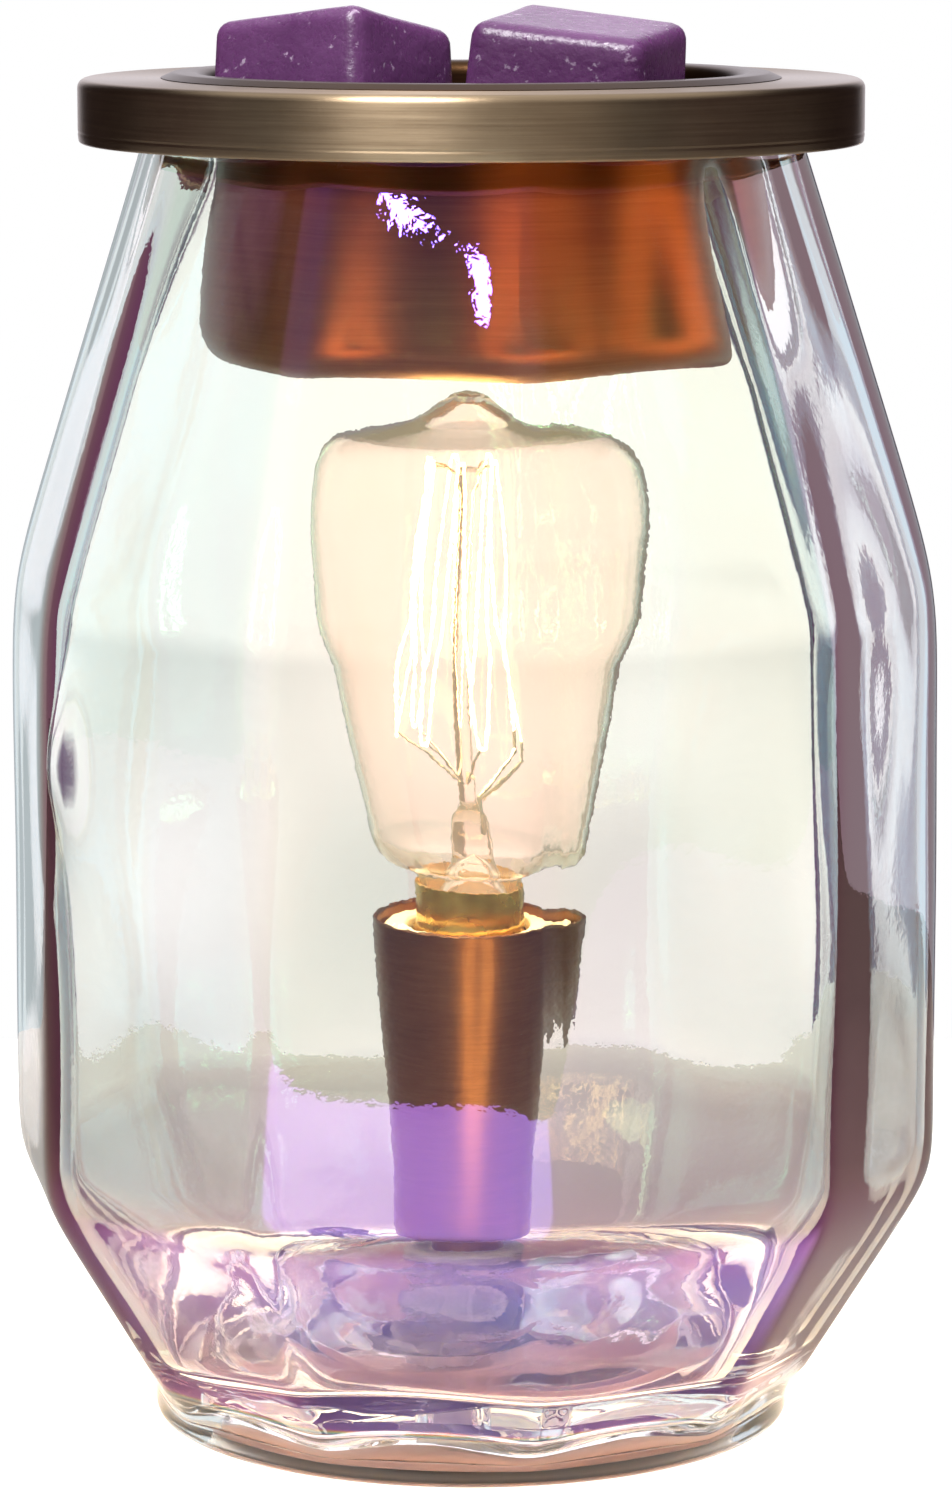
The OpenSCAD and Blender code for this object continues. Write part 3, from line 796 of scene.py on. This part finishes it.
def tinted_floor(s, clear):
    """Brown-mauve glass round the jar's floor, clear below it and further up."""
    level = s.spread(s.height(), 0.0, 0.024)
    clearing = s.ramp(level, (0.375, WHITE), (0.47, (0, 0, 0)), (1.0, WHITE))
    s.set(Base_Color=s.mix(clearing, (0.70, 0.55, 0.65), clear))


def jar_glass_material(name, filmed):
    s = Shader(name)
    cloud = s.noise(s.place(), 9.0, 2.0)
    fine = s.noise(s.place(), 650.0, 2.0)
    clear = s.ramp(cloud, (0.3, (0.980, 0.985, 0.980)), (0.7, (0.992, 0.990, 0.988)))
    s.set(Transmission_Weight=1.0, IOR=1.5, Roughness=0.0, Base_Color=clear)
    if filmed:
        iridescent_film(s, cloud)
    else:
        tinted_floor(s, clear)
    s.set(Normal=s.bump(fine, 0.015 if filmed else 0.03, 0.0003))
    s.let_lamps_through((0.95, 0.96, 0.94))
    return s.material


def bulb_glass_material():
    s = Shader("bulb glass")
    cloud = s.noise(s.place(), 40.0, 2.0)
    s.set(Transmission_Weight=1.0, IOR=1.3, Roughness=0.0)
    s.set(Base_Color=s.ramp(cloud, (0.3, (1.0, 0.885, 0.845)), (0.7, (1.0, 0.905, 0.885))))
    # Painted glow: the glass gives off a faint warm light of its own, as if the filament lit it from inside.
    s.set(Emission_Color=(1.0, 0.80, 0.56), Emission_Strength=0.07)
    s.let_lamps_through((1.0, 0.98, 0.94))
    return s.material


def vinyl_material():
    s = Shader("clear vinyl")
    cloud = s.noise(s.place(), 300.0, 3.0)
    s.set(Transmission_Weight=0.9, IOR=1.42, Roughness=s.span(cloud, 0.12, 0.3))
    s.set(Base_Color=s.ramp(cloud, (0.3, (0.78, 0.68, 0.64)), (0.7, (0.88, 0.79, 0.75))))
    s.let_lamps_through((0.85, 0.86, 0.84))
    return s.material


def bronze_material(name, dark, light, rough, brushing, stretch, painted_shade_from=1.0):
    """Bronze with fine lines round the axis, cloudy wear, and an olive painted shade above a height."""
    s = Shader(name)
    lines = s.noise(s.round_place(2.0, 2600.0), 1.0, 5.0, 0.65)
    cloud = s.noise(s.place(), 55.0, 4.0)
    grain = s.noise(s.place(), 2400.0, 2.0)
    clean = s.ramp(s.blend(lines, 0.6, cloud, 0.4), (0.32, dark), (0.68, light))
    # Painted shade: above the height the colour is darkened to olive, as the band in shade under the lid's
    # ring.
    painted_shade = s.spread(s.height(), painted_shade_from, painted_shade_from + 0.002)
    s.set(Base_Color=s.mix(painted_shade, clean, (0.40, 0.42, 0.34), "MULTIPLY"), Metallic=1.0)
    s.set(Roughness=s.span(s.blend(cloud, 0.5, lines, 0.5), *rough))
    s.set(Normal=s.bump(s.blend(lines, brushing, grain, 0.35), 0.35, 0.00006))
    tangent = s.add("Tangent", {"direction_type": "RADIAL", "axis": "Z"})
    s.set(Anisotropic=stretch, Anisotropic_Rotation=0.25, Tangent=tangent.outputs[0])
    return s.material


def lacquer_material():
    s = Shader("brown lacquer")
    cloud = s.noise(s.place(), 120.0, 4.0)
    grain = s.noise(s.place(), 1800.0, 2.0)
    s.set(Base_Color=s.ramp(cloud, (0.3, (0.17, 0.085, 0.070)), (0.7, (0.24, 0.125, 0.100))))
    s.set(Roughness=s.span(cloud, 0.38, 0.55), Normal=s.bump(grain, 0.2, 0.00005))
    return s.material


def brass_material():
    s = Shader("brass")
    lines = s.noise(s.round_place(3.0, 3200.0), 1.0, 4.0)
    cloud = s.noise(s.place(), 160.0, 4.0)
    s.set(Base_Color=s.ramp(cloud, (0.3, (0.55, 0.33, 0.10)), (0.7, (0.80, 0.55, 0.20))), Metallic=1.0)
    s.set(Roughness=s.span(cloud, 0.16, 0.38), Normal=s.bump(lines, 0.2, 0.00004))
    return s.material


def steel_material():
    s = Shader("zinc plated steel")
    cloud = s.noise(s.place(), 220.0, 4.0)
    s.set(Base_Color=s.ramp(cloud, (0.3, (0.42, 0.42, 0.43)), (0.7, (0.66, 0.66, 0.68))), Metallic=1.0)
    s.set(Roughness=s.span(cloud, 0.22, 0.45), Normal=s.bump(cloud, 0.2, 0.00005))
    return s.material


def porcelain_material():
    s = Shader("cream porcelain")
    cloud = s.noise(s.place(), 90.0, 3.0)
    s.set(Base_Color=s.ramp(cloud, (0.3, (0.80, 0.72, 0.58)), (0.7, (0.90, 0.84, 0.72))))
    s.set(Roughness=s.span(cloud, 0.18, 0.34), Normal=s.bump(cloud, 0.1, 0.0002))
    return s.material


def insulator_material():
    s = Shader("black glass insulator")
    cloud = s.noise(s.place(), 260.0, 3.0)
    s.set(Base_Color=s.ramp(cloud, (0.3, (0.008, 0.008, 0.010)), (0.7, (0.03, 0.03, 0.034))))
    s.set(Roughness=s.span(cloud, 0.1, 0.3))
    return s.material


def glow_material():
    s = Shader("glowing wire")
    beads = s.noise(s.place(), 900.0, 2.0)
    s.set(Base_Color=(0.5, 0.4, 0.3), Roughness=0.5)
    s.set(Emission_Color=s.ramp(beads, (0.35, (1.0, 0.62, 0.24)), (0.65, (1.0, 0.80, 0.46))))
    s.set(Emission_Strength=6.0)
    return s.material


def wax_material():
    """Purple wax with pale specks, drawn out a little, and a pitted gloss."""
    s = Shader("purple wax")
    cloud = s.noise(s.place(), 70.0, 4.0)
    pits = s.noise(s.place(), 650.0, 3.0)
    drawn_out = s.add("Mapping", Vector=s.place(), Scale=(420.0, 1100.0, 640.0)).outputs[0]
    specks = s.ramp(s.noise(drawn_out, 1.0, 3.0, 0.6), (0.64, (0, 0, 0)), (0.71, WHITE))
    body = s.ramp(cloud, (0.3, (0.090, 0.026, 0.098)), (0.7, (0.135, 0.046, 0.145)))
    s.set(Base_Color=s.mix(s.math("MULTIPLY", specks, 0.5), body, (0.62, 0.50, 0.64)))
    s.set(Subsurface_Weight=0.25, Subsurface_Radius=(0.004, 0.0015, 0.004), Subsurface_Scale=0.6)
    s.set(Roughness=s.span(pits, 0.18, 0.40), Normal=s.bump(s.blend(pits, 1.0, cloud, 2.0), 0.6, 0.0003))
    return s.material


def dress(obj, material):
    obj.data.materials.clear()
    obj.data.materials.append(material)


def dress_node(node, material):
    """Give a carried-over CAD node its material, without touching its mesh."""
    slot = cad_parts[node].material_slots[0]
    slot.link = "OBJECT"
    slot.material = material


# Stage

def behind_glass():
    """Pale light seen through the glass, with dark strips at a few bearings."""
    stops = []
    for middle, half in DARK_STRIPS:
        stops += [(middle - half - STRIP_EDGE, PALE), (middle - half, PLUM), (middle, UMBER)]
        stops += [(middle + half, PLUM), (middle + half + STRIP_EDGE, PALE)]
    return stops


def studio_world():
    """White behind the object for the camera; a studio with dark strips for the other rays."""
    world = bpy.data.worlds.new("studio")
    bpy.context.scene.world = world
    world.use_nodes = True
    s = Nodes(world.node_tree)
    rays = s.add("LightPath").outputs
    x, y, z = s.split(s.add("TexCoord").outputs["Generated"])
    bearing = s.spread(s.math("ARCTAN2", x, y), -math.pi, math.pi)

    def by_bearing(stops):
        return s.ramp(bearing, *((0.5 + degrees / 360, colour) for degrees, colour in stops))

    ceiling = s.spread(z, 0.62, 0.78)
    on_metal = s.mix(ceiling, by_bearing(MIRRORED_IN_METAL), WHITE)
    in_glass = s.mix(ceiling, by_bearing(MIRRORED_IN_GLASS), CEILING_IN_GLASS)
    mirrored = s.mix(rays["Is Singular Ray"], on_metal, in_glass)
    seen_through = by_bearing(behind_glass())
    brighter_up = s.spread(z, -0.27, -0.13, 0.68, 1.24)
    backdrop = s.add("VectorMath", {"operation": "SCALE"}, Vector=seen_through, Scale=brighter_up)
    colour = s.mix(rays["Is Transmission Ray"], GREY, backdrop.outputs[0])
    colour = s.mix(s.math("GREATER_THAN", rays["Glossy Depth"], 0.5), colour, mirrored)
    colour = s.mix(rays["Is Camera Ray"], colour, WHITE)
    background = s.tree.nodes["Background"]
    s.feed(background.inputs["Color"], colour)
    background.inputs["Strength"].default_value = 1.0


def floor_material():
    """Pale paper: white to the camera apart from shadows, and for glass and metal grey paper with painted
    light and shade.
    """
    s = Shader("pale paper floor")
    rays = s.add("LightPath").outputs
    place = s.place()
    x, y, _ = s.split(place)
    from_axis = s.add("VectorMath", {"operation": "LENGTH"}, Vector=place).outputs["Value"]
    none, most = (0.0, 0.0, 0.0), (0.8, 0.8, 0.8)

    # Paper painted grey as shade on the white floor, with more painted shade towards the sides
    paper = s.ramp(s.noise(place, 3.0, 3.0), (0.3, (0.235, 0.232, 0.226)), (0.7, (0.280, 0.277, 0.270)))
    middle = s.spread(s.math("ABSOLUTE", x), 0.28, 0.13)
    colour = s.mix(middle, (0.15, 0.145, 0.145), paper)

    # Painted pools of blue-white light in front and round the foot, mirrored by the glass but not seen
    # through it; the collar starts 53 mm out, so the floor next to the foot stays in painted shade
    from_card = s.add("VectorMath", {"operation": "DISTANCE"}, Vector=place)
    from_card.inputs[1].default_value = (-0.05, -0.24, 0.0)
    front_light_pool = s.ramp(from_card.outputs["Value"], (0.100, WHITE), (0.115, none))
    collar = s.ramp(from_axis, (0.053, none), (0.066, most), (0.085, most), (0.105, none))
    collar = s.math("MULTIPLY", collar, s.spread(y, -0.01, -0.03))
    outside_glass = s.math("LESS_THAN", rays["Transmission Depth"], 0.5)
    painted_light_pools = s.math("MULTIPLY", s.math("MAXIMUM", front_light_pool, collar), outside_glass)
    colour = s.mix(painted_light_pools, colour, (0.80, 0.95, 1.0))

    # Painted light under the rim of the foot, and lighter painted shade far behind
    painted_light_under_foot = s.ramp(from_axis, (0.030, none), (0.036, most), (0.047, most), (0.053, none))
    colour = s.mix(painted_light_under_foot, colour, (0.80, 0.76, 0.73))
    far = s.math("MULTIPLY", s.spread(y, 0.12, 0.245), middle)
    colour = s.mix(far, colour, (0.47, 0.46, 0.45))
    s.set(Base_Color=colour, Roughness=0.9, Specular_IOR_Level=0.1)

    # White with soft shadows for the camera
    white = s.add("AddShader")
    s.feed(white.inputs[0], s.add("Emission", Color=WHITE, Strength=0.72).outputs[0])
    s.feed(white.inputs[1], s.add("BsdfDiffuse", Color=(0.42, 0.42, 0.42)).outputs[0])
    s.show(rays["Is Camera Ray"], s.bsdf.outputs[0], white.outputs[0])
    return s.material


def floor():
    half_width, front, back, z = 700, -290, 245, -0.3
    points = [(-half_width, front, z), (half_width, front, z), (half_width, back, z), (-half_width, back, z)]
    sheet = piece("floor_paper", points, [(0, 1, 2, 3)])
    dress(sheet, floor_material())


def lamp_object(name, kind, place, power, colour):
    """A lamp that isn't seen through the glass."""
    lamp = bpy.data.lights.new(name, kind)
    lamp.energy = power
    lamp.color = colour
    obj = bpy.data.objects.new(name, lamp)
    bpy.context.scene.collection.objects.link(obj)
    obj.location = place
    obj.visible_transmission = False
    return obj


def area_lamp(name, place, aim, size, power, mirrored=True, colour=WHITE):
    obj = lamp_object(name, "AREA", place, power, colour)
    obj.data.shape = "RECTANGLE"
    obj.data.size, obj.data.size_y = size
    obj.rotation_euler = (Vector(aim) - Vector(place)).to_track_quat("-Z", "Y").to_euler()
    obj.visible_glossy = mirrored


def warm_lamp(name, place, power, radius, colour, only_on=None):
    """A small warm lamp; only_on keeps its light to one piece."""
    obj = lamp_object(name, "POINT", place, power, colour)
    obj.data.shadow_soft_size = radius
    obj.visible_camera = False
    if only_on:
        lit = bpy.data.collections.new(name + " lights")
        lit.objects.link(bpy.data.objects[only_on])
        obj.light_linking.receiver_collection = lit


def lamps():
    """Softboxes, the filament's light, and small lamps for the filament's images in the glass."""
    middle = (0, 0, 0.11)
    area_lamp("key softbox", (-0.30, -0.62, 1.05), middle, (0.5, 0.5), 16)
    area_lamp("fill softbox", (1.0, -0.2, 0.7), middle, (0.4, 0.6), 5, False)
    area_lamp("top softbox", (0, 0.3, 1.1), middle, (0.8, 0.8), 9, False)
    spark_blue = (0.30, 0.62, 1.0)
    on_dish = (0, -0.046, 0.16)
    area_lamp("small spark", (-0.276, -0.919, 0.664), on_dish, (0.016, 0.034), 0.06, True, spark_blue)

    warm = (1.0, 0.62, 0.28)
    orange = (1.0, 0.30, 0.06)
    amber = (1.0, 0.58, 0.20)
    warm_lamp("filament light", (0, 0, 0.112), 0.6, 0.006, warm)
    for i, (place, power) in enumerate((
        ((0.073, -0.028, 0.144), 1.15), ((0.031, -0.084, 0.132), 0.52), ((-0.060, -0.066, 0.128), 0.30),
    )):
        warm_lamp(f"mirrored filament {i}", place, power, 0.008, orange, "wax_dish_pressing")
    by_sleeve = (0.004, -0.075, 0.042)
    warm_lamp("mirrored filament on sleeve", by_sleeve, 0.46, 0.01, amber, "socket_sleeve_tube")


def camera():
    """The photograph's viewpoint: 780 mm in front, 213 mm up, looking 9 degrees down."""
    data = bpy.data.cameras.new("photo camera")
    data.sensor_width = 36
    data.lens = 140.8
    obj = bpy.data.objects.new("photo camera", data)
    bpy.context.scene.collection.objects.link(obj)
    obj.location = (0.00063, -0.780, 0.2134)
    obj.rotation_euler = (math.radians(81.05), 0, 0)
    data.clip_start = 0.01
    bpy.context.scene.camera = obj


def build():
    """Make the visible pieces, and dress them and the CAD nodes that are kept."""
    bronze = bronze_material(
        "brushed bronze", (0.30, 0.215, 0.135), (0.46, 0.345, 0.225), (0.26, 0.42), 1.0, 0.85)
    # The copper's last number is the height above which a painted shade darkens it under the lid's ring.
    copper = bronze_material(
        "satin copper bronze", (0.150, 0.068, 0.038), (0.220, 0.108, 0.062), (0.27, 0.38), 0.15, 0.3, 0.166)
    brass = brass_material()
    steel = steel_material()
    bulb_glass = bulb_glass_material()
    wax = wax_material()

    filmed = jar_glass_material("jar glass with iridescent film", True)
    unfilmed = jar_glass_material("jar glass inside", False)
    glass_jar(filmed, unfilmed)
    dress(lid_ring(), bronze)
    dress(wax_dish(), copper)
    dress(socket_sleeve(), copper)
    dress(base_cover(), lacquer_material())
    dress(bulb_envelope(), bulb_glass)
    dress(bulb_filament(), glow_material())
    dress(bulb_screw_shell(), brass)
    for cube in wax_cubes():
        dress(cube, wax)

    for material, nodes in (
        (vinyl_material(), ("cord_grommet", "lower_gasket", "upper_gasket")),
        (steel, ("threaded_nipple", "steel_washer", "base_nut", "sleeve_nut")),
        (steel, ("bulb_anchor_wires", "bulb_lead_wires")),
        (brass, ("lampholder_bracket", "lampholder_shell", "lampholder_contact")),
        (brass, ("terminal_screws", "bulb_tip_contact")),
        (copper, ("sleeve_spacer",)),
        (porcelain_material(), ("lampholder_body",)),
        (bulb_glass, ("bulb_stem",)),
        (insulator_material(), ("bulb_cap_insulator",)),
    ):
        for node in nodes:
            dress_node(node, material)


bpy.context.scene.view_settings.view_transform = "Standard"
camera()
build()
floor()
studio_world()
lamps()
